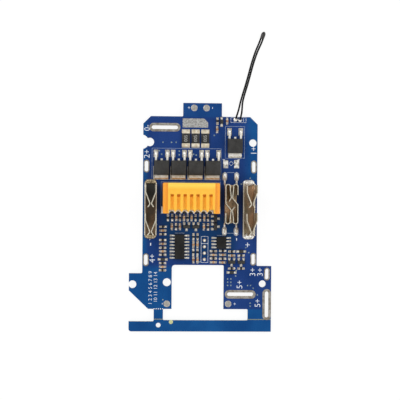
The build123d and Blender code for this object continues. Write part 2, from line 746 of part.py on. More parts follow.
# Power transistors
for i, (x, y) in enumerate(power_places, start=1):
    with BuildPart() as power_body:
        waist = TOP + PAD_T + POWER_LEAD_T
        with BuildSketch(board_plane(x, y, waist)):
            Rectangle(POWER_W, POWER_L)
        extrude(amount=POWER_H - POWER_LEAD_T, taper=POWER_DRAFT)
        with BuildSketch(board_plane(x, y + POWER_L / 2 - POWER_HEEL / 2, TOP + PAD_T)):
            Rectangle(POWER_W, POWER_HEEL)
        extrude(amount=POWER_LEAD_T)
        with BuildSketch(board_plane(x, y, TOP + PAD_T + POWER_H - DIMPLE_DEPTH)):
            with Locations((0, DIMPLE_OFFSET)):
                Circle(DIMPLE_R)
        extrude(amount=DIMPLE_DEPTH, mode=Mode.SUBTRACT)
    save(power_body.part, f"power_transistor_{i}_body")

    with BuildPart() as power_frame:
        tab_head = y + POWER_L / 2 - POWER_HEEL
        tab_foot = y - POWER_L / 2 - POWER_TAB_REACH
        with BuildSketch(board_plane(x, (tab_head + tab_foot) / 2, TOP + PAD_T)):
            Rectangle(POWER_TAB_W, tab_head - tab_foot)
        extrude(amount=POWER_LEAD_T)
        for side in (1, -1):
            lead_x = x + side * POWER_LEAD_PITCH / 2
            bent_lead(
                along_plane(lead_x, y, TOP + PAD_T),
                POWER_L / 2,
                POWER_LEAD_RISE,
                POWER_LEAD_REACH,
                POWER_LEAD_T,
                POWER_LEAD_W,
            )
        stub_y = y + (POWER_L + POWER_STUB) / 2
        with BuildSketch(board_plane(x, stub_y, TOP + PAD_T + POWER_LEAD_RISE)):
            Rectangle(POWER_LEAD_W, POWER_STUB)
        extrude(amount=POWER_LEAD_T)
    save(power_frame.part, f"power_transistor_{i}_leads")


def end_cap(plane, length, width, height, cap, reach):
    """One tinned end of a two-ended chip, with its solder fillet."""
    with BuildSketch(plane) as side:
        with BuildLine():
            Polyline(
                (length / 2 - cap, 0),
                (length / 2 + reach, 0),
                (length / 2 + reach, FILLET_FOOT),
                (length / 2 + reach / 4, height * 0.6),
                (length / 2, height),
                (length / 2 - cap, height),
                close=True,
            )
        make_face()
    extrude(side.sketch, amount=width / 2, both=True)


# Shunt resistors
for i, x in enumerate(shunt_x, start=1):
    with BuildPart() as shunt_body:
        with BuildSketch(board_plane(x, SHUNT_Y)):
            Rectangle(SHUNT_W, SHUNT_L - 2 * SHUNT_CAP)
        extrude(amount=SHUNT_H)
    save(shunt_body.part, f"shunt_resistor_{i}")
with BuildPart() as shunt_ends:
    for x in shunt_x:
        for heading in (1, -1):
            plane = Plane((x, SHUNT_Y, TOP), x_dir=(0, heading, 0), z_dir=(heading, 0, 0))
            end_cap(plane, SHUNT_L, SHUNT_W, SHUNT_H, SHUNT_CAP, SHUNT_FILLET)
save(shunt_ends.part, "shunt_resistor_ends")


# Control chips
def chip_body(x, y, length):
    """A moulded chip body that narrows up and down from its parting line."""
    waist = TOP + PAD_T + CHIP_STANDOFF + CHIP_H / 2
    with BuildPart() as body:
        with BuildSketch(board_plane(x, y, waist)):
            Rectangle(CHIP_W, length)
        extrude(amount=CHIP_H / 2, taper=CHIP_DRAFT)
        with BuildSketch(board_plane(x, y, waist)):
            Rectangle(CHIP_W, length)
        extrude(amount=-CHIP_H / 2, taper=CHIP_DRAFT)
        with BuildSketch(board_plane(x, y, waist + CHIP_H / 2 - DIMPLE_DEPTH)):
            with Locations((-CHIP_W / 4, length / 2 - CHIP_W / 4)):
                Circle(PIN_MARK_R)
        extrude(amount=DIMPLE_DEPTH, mode=Mode.SUBTRACT)
    return body.part


def chip_leads(x, y, count):
    """Both rows of gull-wing leads of a control chip."""
    with BuildPart() as leads:
        for i in range(count):
            lead_y = y + (i - (count - 1) / 2) * CHIP_LEAD_PITCH
            for heading in (1, -1):
                plane = Plane((x, lead_y, TOP + PAD_T), x_dir=(heading, 0, 0), z_dir=(0, -heading, 0))
                bent_lead(
                    plane,
                    CHIP_W / 2,
                    CHIP_STANDOFF + CHIP_H / 2 - CHIP_LEAD_T / 2,
                    CHIP_LEAD_REACH,
                    CHIP_LEAD_T,
                    CHIP_LEAD_W,
                )
    return leads.part


save(chip_body(*CONTROLLER, controller_l), "controller_chip")
save(chip_leads(*CONTROLLER, CONTROLLER_LEAD_COUNT), "controller_chip_leads")
save(chip_body(*DRIVER, driver_l), "driver_chip")
save(chip_leads(*DRIVER, DRIVER_LEAD_COUNT), "driver_chip_leads")


# Small transistors: centre and turn, two leads on the side that turns to the head
small_transistors = [
    ((-5.65, -3.8), 0),
    ((-1.9, -3.8), 0),
    ((5.9, -0.5), 90),
    ((5.9, -3.7), 90),
    ((12.55, -17.85), 0),
    ((16.35, -17.85), 0),
]
small_lead_places = [(-1, 1), (1, 1), (0, -1)]
with BuildPart() as small_bodies:
    for (x, y), turn in small_transistors:
        with BuildSketch(board_plane(x, y, TOP + PAD_T, turn)):
            Rectangle(SMALL_W, SMALL_L)
        extrude(amount=SMALL_H, taper=POWER_DRAFT)
save(small_bodies.part, "small_transistors")
with BuildPart() as small_leads:
    for (x, y), turn in small_transistors:
        seat = board_plane(x, y, TOP + PAD_T, turn)
        for column, heading in small_lead_places:
            foot = seat.from_local_coords((column * SMALL_LEAD_PITCH / 2, 0, 0))
            outward = seat.y_dir * heading
            plane = Plane(foot, x_dir=outward, z_dir=outward.cross(Vector(0, 0, 1)))
            bent_lead(plane, SMALL_L / 2, SMALL_H / 2, SMALL_LEAD_REACH, CHIP_LEAD_T, SMALL_LEAD_W)
save(small_leads.part, "small_transistor_leads")


# Signal diodes: centre and turn
signal_diodes = [
    ((8.1, 38.3), 90),
    ((-15.05, -16.9), 0),
    ((16.35, -13.6), 0),
    ((12.55, -22.0), 0),
]
with BuildPart() as diode_bodies:
    for (x, y), turn in signal_diodes:
        with BuildSketch(board_plane(x, y, TOP + PAD_T, turn)):
            Rectangle(DIODE_L, DIODE_W)
        extrude(amount=DIODE_H, taper=POWER_DRAFT)
save(diode_bodies.part, "signal_diodes")
with BuildPart() as diode_leads:
    for (x, y), turn in signal_diodes:
        seat = board_plane(x, y, TOP + PAD_T, turn)
        for heading in (1, -1):
            outward = seat.x_dir * heading
            plane = Plane(seat.origin, x_dir=outward, z_dir=outward.cross(Vector(0, 0, 1)))
            bent_lead(plane, DIODE_L / 2, DIODE_H / 2, SMALL_LEAD_REACH, CHIP_LEAD_T, DIODE_LEAD_W)
save(diode_leads.part, "signal_diode_leads")


# Small two-ended chips: centre and turn, the long way along X where turn is 0
column_x = BLADE_X[0] + 5.0
front_row_y = -0.2
second_row_y = -3.8
chip_resistors = [
    *[((x, front_row_y), 90) for x in (-13.1, -11.4, -8.3, -5.2, -2.05, -0.25, 2.9)],
    *[((x, second_row_y), 90) for x in (-9.85, 2.95)],
    *[((column_x, y), 0) for y in (-3.9, -6.9, -9.2, -12.25, -15.05, -18.4, -21.25)],
    *[((x, y), 90) for x in (-2.85, -1.2) for y in (-7.8, -14.0)],
    *[((5.2, y), 0) for y in (-13.5, -16.4)],
    *[((8.9, y), 0) for y in (-13.4, -16.5)],
    *[((12.55, y), 0) for y in (-13.6, -20.4)],
    *[((16.35, y), 0) for y in (-15.2, -20.4)],
    ((6.4, 38.55), 90),
]
chip_capacitors = [
    *[((x, front_row_y), 90) for x in (-9.8, -6.7, -3.65, 1.4)],
    *[((x, second_row_y), 90) for x in (-11.5, -8.3, 1.3)],
    *[((column_x, y), 0) for y in (-5.4, -10.7, -13.65, -19.85)],
    *[((x, y), 90) for x in (-2.85, -1.2) for y in (-10.9, -17.0)],
    *[((5.2, y), 0) for y in (-15.0, -17.9)],
    *[((8.9, y), 0) for y in (-14.95, -18.0)],
    ((12.55, -15.2), 0),
    ((10.3, 38.55), 90),
    ((6.3, 35.2), 90),
]
for kind, places, height in (
    ("chip_resistors", chip_resistors, RESISTOR_H),
    ("chip_capacitors", chip_capacitors, CAPACITOR_H),
):
    seats = [Location((x, y, TOP), (0, 0, turn)) for (x, y), turn in places]
    with BuildPart() as one_body:
        with BuildSketch():
            Rectangle(CHIP2_L - 2 * CHIP2_CAP, CHIP2_W)
        extrude(amount=height)
    with BuildPart() as chip_bodies:
        with Locations(*seats):
            add(one_body.part)
    save(chip_bodies.part, kind)
    with BuildPart() as two_ends:
        for heading in (1, -1):
            plane = Plane((0, 0, 0), x_dir=(heading, 0, 0), z_dir=(0, -heading, 0))
            end_cap(plane, CHIP2_L, CHIP2_W, height, CHIP2_CAP, CHIP2_FILLET)
    with BuildPart() as chip_ends:
        with Locations(*seats):
            add(two_ends.part)
    save(chip_ends.part, f"{kind[:-1]}_ends")


# Tinned pads under the leads and tabs
def foot_pads(seat, feet, start, width, length):
    """Pads that start at a distance from a body's middle, one for each foot."""
    for column, heading in feet:
        middle = seat.from_local_coords((column, heading * (start + length / 2), 0))
        turn = seat.x_dir.get_signed_angle(Vector(1, 0, 0), Vector(0, 0, -1))
        with Locations(Location((middle.X, middle.Y), turn)):
            Rectangle(width, length)


power_pad_at = POWER_L / 2 + POWER_PAD_START
chip_pad_at = CHIP_W / 2 + CHIP_PAD_START
small_pad_at = SMALL_L / 2 + SMALL_PAD_START
diode_pad_at = DIODE_L / 2 + SMALL_PAD_START
with BuildPart() as lead_pads:
    with BuildSketch(Plane.XY.offset(TOP)):
        for x, y in power_places:
            with Locations((x, y - (POWER_L + POWER_LAND - POWER_TAB_REACH) / 2)):
                Rectangle(POWER_TAB_W, POWER_LAND + POWER_TAB_REACH)
            feet = [(side * POWER_LEAD_PITCH / 2, 1) for side in (1, -1)]
            foot_pads(board_plane(x, y), feet, power_pad_at, POWER_PAD_W, POWER_PAD_L)
        for (x, y), count in ((CONTROLLER, CONTROLLER_LEAD_COUNT), (DRIVER, DRIVER_LEAD_COUNT)):
            rows = [(i - (count - 1) / 2) * CHIP_LEAD_PITCH for i in range(count)]
            feet = [(row, side) for row in rows for side in (1, -1)]
            foot_pads(board_plane(x, y, TOP, 90), feet, chip_pad_at, CHIP_PAD_W, CHIP_PAD_L)
        for (x, y), turn in small_transistors:
            half_pitch = SMALL_LEAD_PITCH / 2
            feet = [(column * half_pitch, heading) for column, heading in small_lead_places]
            foot_pads(board_plane(x, y, TOP, turn), feet, small_pad_at, SMALL_PAD_W, SMALL_PAD_L)
        for (x, y), turn in signal_diodes:
            seat = board_plane(x, y, TOP, turn + 90)
            foot_pads(seat, [(0, 1), (0, -1)], diode_pad_at, SMALL_PAD_W, SMALL_PAD_L)
    extrude(amount=PAD_T)
save(lead_pads.part, "lead_pads")


# Thermistor: a bead on two leads that run over the head of the board
left_route = [
    (13.73, 39.62, 3.2),
    (14.3, 41.4, 3.9),
    (14.95, 43.6, 3.5),
    (15.5, 46.4, 1.8),
    (16.15, 49.6, 0.6),
    (17.4, 53.7, 0.36),
    (18.6, 58.2, 0.36),
    (20.2, 62.8, 0.36),
    (22.05, 67.4, 0.36),
    (23.2, 70.5, 0.9),
    (23.75, 72.1, 0.9),
]
right_route = [
    (15.52, 39.55, 3.2),
    (15.95, 41.3, 3.9),
    (16.1, 43.5, 3.5),
    (16.35, 46.2, 1.8),
    (16.98, 49.38, 0.6),
    (18.22, 53.47, 0.36),
    (19.42, 57.94, 0.36),
    (21.0, 62.5, 0.36),
    (22.85, 67.1, 0.36),
    (24.02, 70.218, 0.9),
    (24.57, 71.818, 0.9),
]


def route_radii(points):
    """Each bend is as large as the shorter of its two runs allows."""
    radii = []
    for before, at, after in zip(points, points[1:], points[2:]):
        run_in = Vector(*at) - Vector(*before)
        run_out = Vector(*after) - Vector(*at)
        half_turn = radians(run_in.get_angle(run_out)) / 2
        radii.append(0.45 * min(run_in.length, run_out.length) / tan(half_turn))
    return radii


def lead_tube(points):
    """A lead swept along straight runs joined by tangent arcs."""
    radii = route_radii(points)
    with BuildPart() as tube:
        with BuildLine() as route:
            FilletPolyline(*points, radius=radii)
        path = route.line
        with BuildSketch(Plane(path @ 0, z_dir=path % 0)):
            Circle(LEAD_D / 2)
        sweep(path=path)
    length = sum(edge.length for edge in path.edges())
    section = pi * LEAD_D**2 / 4
    print("radii", [round(radius, 1) for radius in radii], "length", round(length, 1))
    print("volume over section times length", round(tube.part.volume / (section * length), 4))
    return tube.part


for side, points in (("left", left_route), ("right", right_route)):
    save(lead_tube(points), f"thermistor_lead_{side}")

with BuildPart() as thermistor_solder:
    for points in (left_route, right_route):
        start = Vector(*points[0])
        heading = (Vector(*points[1]) - start).normalized()
        level = Vector(heading.X, heading.Y, 0).normalized()
        centre = start - level * BLOB_R / 2
        with BuildSketch(board_plane(centre.X, centre.Y)):
            Circle(BLOB_R)
        extrude(amount=BLOB_H)
    tops = thermistor_solder.faces().filter_by(Plane.XY).group_by(Axis.Z)[-1]
    fillet(tops.edges(), BLOB_ROUND)
    for points in (left_route, right_route):
        start = Vector(*points[0])
        heading = (Vector(*points[1]) - start).normalized()
        with BuildSketch(Plane(start, z_dir=heading)):
            Rectangle(3 * BLOB_R, 4 * BLOB_H)
        extrude(amount=2 * BLOB_R, mode=Mode.SUBTRACT)
save(thermistor_solder.part, "thermistor_solder")

bead_start = (Vector(*left_route[-1]) + Vector(*right_route[-1])) / 2
last_run = Vector(*left_route[-1]) - Vector(*left_route[-2])
bead_heading = Vector(last_run.X, last_run.Y, 0).normalized()
belly = BEAD_L * BEAD_BELLY
with BuildPart() as thermistor_bead:
    with BuildSketch(Plane(bead_start, x_dir=bead_heading, z_dir=bead_heading.cross(Vector(0, 0, 1)))):
        with BuildLine():
            Line((0, 0), (0, BEAD_NECK_D / 2))
            ThreePointArc(
                (0, BEAD_NECK_D / 2),
                (belly / 2, (BEAD_NECK_D / 2 + 3 * BEAD_D / 2) / 4),
                (belly, BEAD_D / 2),
            )
            EllipticalCenterArc((belly, 0), BEAD_L - belly, BEAD_D / 2, 0, arc_size=90)
            Line((BEAD_L, 0), (0, 0))
        make_face()
    revolve(axis=Axis(bead_start, bead_heading))
save(thermistor_bead.part, "thermistor_bead")
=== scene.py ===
"""Looks of a battery management board: the photograph's camera and light, the two
thermistor leads, a finish for every solid, and the printing, tracks, vias and
solder that the solids leave plain. Places are in millimetres in the tables."""
import json
from math import cos, pi, radians, sin

import bmesh
import bpy
from mathutils import Matrix, Vector


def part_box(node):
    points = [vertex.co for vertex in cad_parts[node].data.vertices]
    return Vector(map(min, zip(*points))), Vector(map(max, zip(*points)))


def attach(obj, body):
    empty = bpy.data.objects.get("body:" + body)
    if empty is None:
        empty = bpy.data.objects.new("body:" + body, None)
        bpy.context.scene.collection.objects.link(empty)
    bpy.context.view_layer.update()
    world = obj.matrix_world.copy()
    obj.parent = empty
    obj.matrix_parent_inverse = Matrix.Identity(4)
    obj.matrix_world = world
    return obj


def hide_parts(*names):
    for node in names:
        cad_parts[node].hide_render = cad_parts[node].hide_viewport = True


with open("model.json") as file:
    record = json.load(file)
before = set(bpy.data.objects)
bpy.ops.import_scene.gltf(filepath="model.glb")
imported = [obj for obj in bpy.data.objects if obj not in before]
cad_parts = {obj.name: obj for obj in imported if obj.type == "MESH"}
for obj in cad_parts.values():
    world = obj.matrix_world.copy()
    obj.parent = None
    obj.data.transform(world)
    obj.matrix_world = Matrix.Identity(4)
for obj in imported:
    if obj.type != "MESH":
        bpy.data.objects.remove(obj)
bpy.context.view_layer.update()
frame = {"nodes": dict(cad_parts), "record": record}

MM = 0.001
nodes = frame["nodes"]
scene = bpy.context.scene


def box_mm(node):
    """The lowest and highest corners of a solid, in millimetres."""
    return tuple(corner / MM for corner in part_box(node))


# Levels and thicknesses that the pieces build on, read from the solids
BOTTOM, TOP = (corner.z for corner in box_mm("circuit_board"))
MIDDLE = (BOTTOM + TOP) / 2
HALF_T = (TOP - BOTTOM) / 2
PAD_T = box_mm("lead_pads")[1].z - TOP

# Numbers of the power transistors: four stand in a row, the fifth on its own
ROW_POWER = range(1, 5)
LONE_POWER = range(5, 6)
ALL_POWER = range(1, 6)

# Camera: nearly overhead, a little to the left
CAMERA_AT = (-25.3, 6.9, 502.5)
AIM_AT = (-0.33, 6.92, 2.5)
FIELD_W = 160.0
PICTURE_TURN = 0.0078
SENSOR_W = 36.0

camera_at = Vector(CAMERA_AT) * MM
aim = Vector(AIM_AT) * MM
back = (camera_at - aim).normalized()
right = Vector((-sin(PICTURE_TURN), cos(PICTURE_TURN), 0)).cross(back).normalized()
camera_data = bpy.data.cameras.new("camera")
camera_data.sensor_width = SENSOR_W
camera_data.lens = SENSOR_W * (camera_at - aim).length / (FIELD_W * MM)
camera_data.clip_start = 0.01
camera_data.clip_end = 20
camera = bpy.data.objects.new("camera", camera_data)
turned = Matrix((right, back.cross(right), back)).transposed().to_4x4()
camera.matrix_world = Matrix.Translation(camera_at) @ turned
scene.collection.objects.link(camera)
scene.camera = camera
scene.view_settings.view_transform = "Standard"


class Level:
    """One output of a node. Sums and products of it add Math nodes."""

    def __init__(self, finish, output):
        self.finish = finish
        self.output = output

    def maths(self, operation, *terms):
        return self.finish.node("Math", {"operation": operation}, dict(enumerate(terms)))

    def __add__(self, other):
        return self.maths("ADD", self, other)

    def __radd__(self, other):
        return self.maths("ADD", other, self)

    def __sub__(self, other):
        return self.maths("SUBTRACT", self, other)

    def __rsub__(self, other):
        return self.maths("SUBTRACT", other, self)

    def __mul__(self, other):
        return self.maths("MULTIPLY", self, other)

    def __rmul__(self, other):
        return self.maths("MULTIPLY", other, self)

    def __abs__(self):
        return self.maths("ABSOLUTE", self)


# Values that nearly all of a noise lies between
NOISE_SPAN = (0.3, 0.7)


class Finish:
    """A procedural material: the shader's constants and the nodes that vary it."""

    def __init__(self, name, **constants):
        self.material = bpy.data.materials.new(name)
        self.material.use_nodes = True
        self.tree = self.material.node_tree
        self.shader = self.tree.nodes["Principled BSDF"]
        self.paint(**constants)

    def node(self, kind, settings, sockets, output=0):
        """Adds a node: its settings first, then the values or links of its sockets."""
        made = self.tree.nodes.new(f"ShaderNode{kind}")
        for name, value in settings.items():
            setattr(made, name, value)
        for name, value in sockets.items():
            self.feed(made.inputs[name], value)
        return Level(self, made.outputs[output])

    def feed(self, socket, value):
        """Links a level to a socket, or sets the socket's own value."""
        if isinstance(value, Level):
            self.tree.links.new(value.output, socket)
        elif isinstance(value, tuple) and socket.type == "RGBA":
            socket.default_value = (*value, 1)
        else:
            socket.default_value = value

    def paint(self, **values):
        """Feeds the shader's own sockets and hands back the material."""
        for socket, value in values.items():
            self.feed(self.shader.inputs[socket.replace("_", " ")], value)
        return self.material

    def point(self):
        """Where a point lies on the object, in metres."""
        return self.node("TexCoord", {}, {}, "Object")

    def along(self, axis):
        """How far along an axis a point of the object lies, in millimetres."""
        return self.node("SeparateXYZ", {}, {"Vector": self.point()}, axis) * (1 / MM)

    def facing_up(self):
        """1 on level faces that look up, 0 on walls, and -1 below."""
        normal = self.node("NewGeometry", {}, {}, "Normal")
        return self.node("SeparateXYZ", {}, {"Vector": normal}, "Z")

    def noise(self, size, detail=2.0, stretch=(1, 1, 1)):
        """Soft patches of about that size in millimetres, from 0 to 1."""
        scale = tuple(part / MM for part in stretch)
        place = self.node("Mapping", {}, {"Vector": self.point(), "Scale": scale})
        return self.node("TexNoise", {}, {"Vector": place, "Scale": 1 / size, "Detail": detail})

    def span(self, level, low, high, to_low=0.0, to_high=1.0):
        """The level taken from one span of values to another, held at the ends."""
        sockets = {"Value": level, "From Min": low, "From Max": high}
        sockets.update({"To Min": to_low, "To Max": to_high})
        return self.node("MapRange", {"clamp": True}, sockets)

    def blend(self, share, low, high):
        """From one colour to another as the share goes from 0 to 1."""
        return self.node("Mix", {"data_type": "RGBA"}, {0: share, 6: low, 7: high}, 2)

    def two_tone(self, level, low, high, dull, bright):
        """From one colour to another as the level crosses a span of values."""
        return self.blend(self.span(level, low, high), dull, bright)

    def rough(self, grain, smooth, coarse):
        """A roughness that follows a noise."""
        return self.span(grain, *NOISE_SPAN, smooth, coarse)

    def bump(self, relief, depth):
        """A normal from a relief whose full height is that depth in millimetres."""
        sockets = {"Strength": 1.0, "Distance": depth * MM, "Height": relief}
        return self.node("Bump", {}, sockets)


# Places between which the blue of the mask changes, with painted shade among the parts below the
# connector, and the depth left on the head tab
CROWD_MIDDLE = (-0.5, -8.0)
CROWD_SIDE = (13.0, 16.0)
CROWD_END = (7.5, 9.5)
LEG_HEAD = (-20.8, -18.8)
LEG_RIGHT = (-6.0, -4.0)
SHOULDER_FOOT = (12.0, 16.0)
SHOULDER_LEFT = (16.5, 20.5)
PLANE_LEFT = (-22.6, -20.9)
PLANE_FOOT = (-36.9, -36.6)
PLANE_HEAD = (39.6, 40.4)
HEAD_TAB_SHARE = 0.5

# How deep the lacquer reaches down a cut edge: whole, and to its end
LACQUER_WHOLE = 0.03
LACQUER_END = 0.08


def solder_mask():
    """Blue lacquer on a laminate whose cut edges are bare. It is deeper over the copper
    plane, which leaves out the break-off strip, the left leg and the right shoulder,
    and darker still with painted shade in the crowd of parts below the connector."""
    finish = Finish("solder_mask", Specular_IOR_Level=0.2)
    cloudy = finish.noise(12.0, 3.0)
    fine = finish.noise(0.35)
    weave = finish.noise(0.8, 1.0, (1, 0.25, 1)) * finish.noise(0.8, 1.0, (0.25, 1, 1))
    shade = finish.span(cloudy + 0.25 * fine, 0.45, 0.8)
    bare = finish.blend(shade, (0.000, 0.050, 0.196), (0.004, 0.080, 0.262))
    backed = finish.blend(shade, (0.003, 0.030, 0.146), (0.012, 0.046, 0.200))
    along_x, along_y = finish.along("X"), finish.along("Y")
    # Painted shade: the blue darker in the crowd of parts below the connector
    crowd = finish.span(abs(along_x - CROWD_MIDDLE[0]), *CROWD_SIDE, 1, 0)
    crowd = crowd * finish.span(abs(along_y - CROWD_MIDDLE[1]), *CROWD_END, 1, 0)
    backed = finish.blend(crowd, backed, (0.002, 0.034, 0.122))
    leg = finish.span(along_y, *LEG_HEAD, 1, 0) * finish.span(along_x, *LEG_RIGHT, 1, 0)
    shoulder = finish.span(along_y, *SHOULDER_FOOT) * finish.span(along_x, *SHOULDER_LEFT)
    plane = finish.span(along_x, *PLANE_LEFT) * (1 - leg) * (1 - shoulder)
    plane = plane * finish.span(along_y, *PLANE_FOOT)
    plane = plane * finish.span(along_y, *PLANE_HEAD, 1, HEAD_TAB_SHARE)
    blue = finish.blend(plane, bare, backed)
    fibre = finish.noise(0.12, 2.0, (0.15, 0.15, 1.6))
    laminate = finish.blend(fibre, (0.26, 0.30, 0.25), (0.52, 0.56, 0.46))
    off_middle = abs(finish.along("Z") - MIDDLE)
    lacquered = finish.span(off_middle, HALF_T - LACQUER_END, HALF_T - LACQUER_WHOLE)
    return finish.paint(
        Base_Color=finish.blend(lacquered, laminate, blue),
        Roughness=finish.span(fine, 0.2, 0.8, 0.24, 0.36),
        Normal=finish.bump(weave + 0.3 * fine, 0.008),
    )


def tinned(name, bright, dull, rough, metallic, patch=0.9, relief=0.03):
    """Tinned copper: soft waves of bright tin with a dull bloom between them."""
    finish = Finish(name, Metallic=metallic)
    bloom = finish.noise(patch, 4.0)
    grain = finish.noise(0.16)
    return finish.paint(
        Base_Color=finish.two_tone(bloom, 0.38, 0.62, dull, bright),
        Roughness=finish.rough(grain, rough - 0.08, rough + 0.1),
        Normal=finish.bump(bloom + 0.4 * grain, relief),
    )


# Heights over the board's face between which the brown flux on solder fades out
FLUX_FADE = (0.05, 0.45)


def solder(name, bright, dull, flux_share=0.6, metallic=0.55):
    """Solder, rippled where it froze, with a little brown flux round its foot."""
    finish = Finish(name, Metallic=metallic, Coat_Weight=0.25, Coat_Roughness=0.15)
    ripple = finish.noise(0.8, 3.0)
    grain = finish.noise(0.12)
    fade_from, fade_to = (TOP + height for height in FLUX_FADE)
    foot = finish.span(finish.along("Z"), fade_from, fade_to, 1, 0)
    flux = finish.span(finish.noise(1.3), 0.52, 0.7) * foot * flux_share
    metal = finish.two_tone(ripple, 0.36, 0.56, dull, bright)
    return finish.paint(
        Base_Color=finish.blend(flux, metal, (0.26, 0.15, 0.06)),
        Roughness=finish.rough(grain, 0.18, 0.36),
        Normal=finish.bump(ripple + 0.25 * grain, 0.08),
    )


# Heights over the board between which a channel's floor, in painted shade, gives way to cut edges
# with a painted highlight
CHANNEL_RIM = (1.3, 2.6)

# Length over which a channel's floor darkens towards its head, as painted shade
HEAD_SHADE_L = 5.0


def spring_sheet(name, dark, warm, dark_from=None):
    """Tinned bronze sheet: upward cut edges pale as a painted highlight, warm walls darker as a
    painted reflection, and a channel floor in painted shade with random patches, which
    darkens towards the head past that place along the board."""
    finish = Finish(name, Metallic=0.65)
    level = finish.span(finish.facing_up(), 0.6, 0.9)
    rim_from, rim_to = (TOP + height for height in CHANNEL_RIM)
    high = finish.span(finish.along("Z"), rim_from, rim_to)
    # Painted shade: the channel floor goes from the dark colour to the warm one in random patches
    painted_floor_light = finish.span(finish.noise(3.2, 3.0, (1, 0.5, 1)), 0.38, 0.62)
    if dark_from is not None:
        lit_end = finish.span(finish.along("Y"), dark_from, dark_from + HEAD_SHADE_L, 1, 0)
        painted_floor_light = (0.25 + 0.5 * painted_floor_light) * lit_end
    streak = finish.noise(0.5, 3.0, (1, 1, 0.2))
    # Painted reflection on the walls, darker than the painted highlight on the upward cut edges
    wall_reflection = finish.blend(streak, (0.34, 0.25, 0.15), (0.70, 0.58, 0.42))
    cut = finish.blend(streak, (0.58, 0.52, 0.38), (0.90, 0.86, 0.74))
    rim = finish.blend(level, wall_reflection, cut)
    channel = finish.blend(level, wall_reflection, finish.blend(painted_floor_light, dark, warm))
    return finish.paint(
        Base_Color=finish.blend(high, channel, rim),
        Roughness=finish.rough(streak, 0.26, 0.42),
        Normal=finish.bump(streak, 0.01),
    )


def moulded(name, low, high, rough, grain_size=0.11, depth=0.012, **constants):
    """Moulded plastic, resin or laminate: an even colour with a fine, dull grain."""
    finish = Finish(name, **constants)
    grain = finish.noise(grain_size)
    return finish.paint(
        Base_Color=finish.two_tone(finish.noise(2.6), 0.35, 0.65, low, high),
        Roughness=finish.rough(grain, rough - 0.06, rough + 0.08),
        Normal=finish.bump(grain, depth),
    )


# Where the yellow of the cover changes: down from its roof, in from its sides to the painted
# shade, and in from its head to the painted highlight
ROOF_FADE = (1.0, 0.15)
CHEEK_FADE = (2.0, 1.9)
HEAD_FADE = (2.6, 1.2)


def connector_yellow():
    """Warm yellow nylon, deeper in the grooves; painted shade on the low shoulders, a painted
    highlight at the head.
    """
    finish = Finish("connector_yellow", Subsurface_Weight=0.1, Subsurface_Scale=0.0012)
    low, high = box_mm("connector_cover")
    middle_x = (low.x + high.x) / 2
    raised = finish.span(finish.along("Z"), *(high.z - depth for depth in ROOF_FADE))
    off_middle = abs(finish.along("X") - middle_x)
    cheek = finish.span(off_middle, *(high.x - middle_x - inset for inset in CHEEK_FADE))
    head = finish.span(finish.along("Y"), *(high.y - inset for inset in HEAD_FADE))
    cloudy = finish.noise(3.0)
    grain = finish.noise(0.1)
    groove = finish.blend(cloudy, (0.98, 0.50, 0.030), (1.0, 0.56, 0.042))
    # Painted shade: the low shoulders a deeper orange than the grooves
    shoulder = finish.blend(cloudy, (0.98, 0.37, 0.018), (1.0, 0.41, 0.026))
    roof = finish.blend(cloudy, (0.99, 0.49, 0.034), (1.0, 0.55, 0.048))
    # Painted highlight: a paler band just in from the head of the roof
    roof = finish.blend(head, roof, (1.0, 0.66, 0.085))
    return finish.paint(
        Base_Color=finish.blend(raised, finish.blend(cheek, groove, shoulder), roof),
        Roughness=finish.rough(grain, 0.36, 0.52),
        Normal=finish.bump(grain, 0.01),
    )


def printed_ink(name, low, high):
    """Screen ink, thin in places so that the mask shows through a little."""
    finish = Finish(name)
    thin = finish.noise(0.25, 3.0)
    return finish.paint(
        Base_Color=finish.two_tone(thin, 0.35, 0.6, low, high),
        Roughness=finish.rough(thin, 0.5, 0.65),
    )


# One finish for each material slot of the record
finishes = {
    "solder_mask": solder_mask(),
    "tinned_copper": tinned(
        "tinned_lead", (0.90, 0.88, 0.80), (0.60, 0.57, 0.50), rough=0.34, metallic=0.3
    ),
    "solder": solder("solder", (1.0, 0.98, 0.92), (0.62, 0.58, 0.50), flux_share=0.4),
    # Charge terminal: its channel floor from painted shade to its warm colour
    "spring_sheet": spring_sheet("charge_sheet", (0.30, 0.24, 0.15), (0.72, 0.50, 0.30)),
    "moulding_black": moulded(
        "moulding_black", (0.014, 0.013, 0.012), (0.026, 0.025, 0.023), rough=0.5
    ),
    "ceramic_black": moulded(
        "ceramic_black", (0.010, 0.010, 0.010), (0.020, 0.019, 0.018), rough=0.34, grain_size=0.2
    ),
    "capacitor_tan": moulded(
        "capacitor_tan", (0.26, 0.13, 0.055), (0.52, 0.30, 0.14), rough=0.42, grain_size=0.2
    ),
    "connector_yellow": connector_yellow(),
    "connector_white": moulded(
        "connector_white", (0.86, 0.85, 0.80), (0.94, 0.93, 0.88), rough=0.42
    ),
    "lead_insulation": moulded(
        "lead_insulation", (0.004, 0.004, 0.004), (0.008, 0.008, 0.008),
        rough=0.6, grain_size=0.3, depth=0.004, Specular_IOR_Level=0.1,
    ),
    "bead_epoxy": moulded(
        "bead_epoxy", (0.012, 0.011, 0.010), (0.026, 0.023, 0.02),
        rough=0.24, grain_size=0.6, depth=0.04,
    ),
}

# Finishes of pieces and nodes that look different from the rest of their slot
ink = printed_ink("printed_ink", (0.56, 0.63, 0.72), (0.88, 0.90, 0.93))
faint_ink = printed_ink("faint_ink", (0.16, 0.24, 0.40), (0.44, 0.50, 0.60))
shunt_ink = printed_ink("shunt_ink", (0.30, 0.30, 0.28), (0.52, 0.52, 0.49))
bright_solder = solder(
    "bright_solder", (1.0, 0.99, 0.95), (0.74, 0.70, 0.62), flux_share=0.2, metallic=0.3
)
copper_wet = tinned(
    "copper_wet", (0.92, 0.60, 0.27), (0.62, 0.34, 0.13), rough=0.34, metallic=0.35, patch=1.2
)
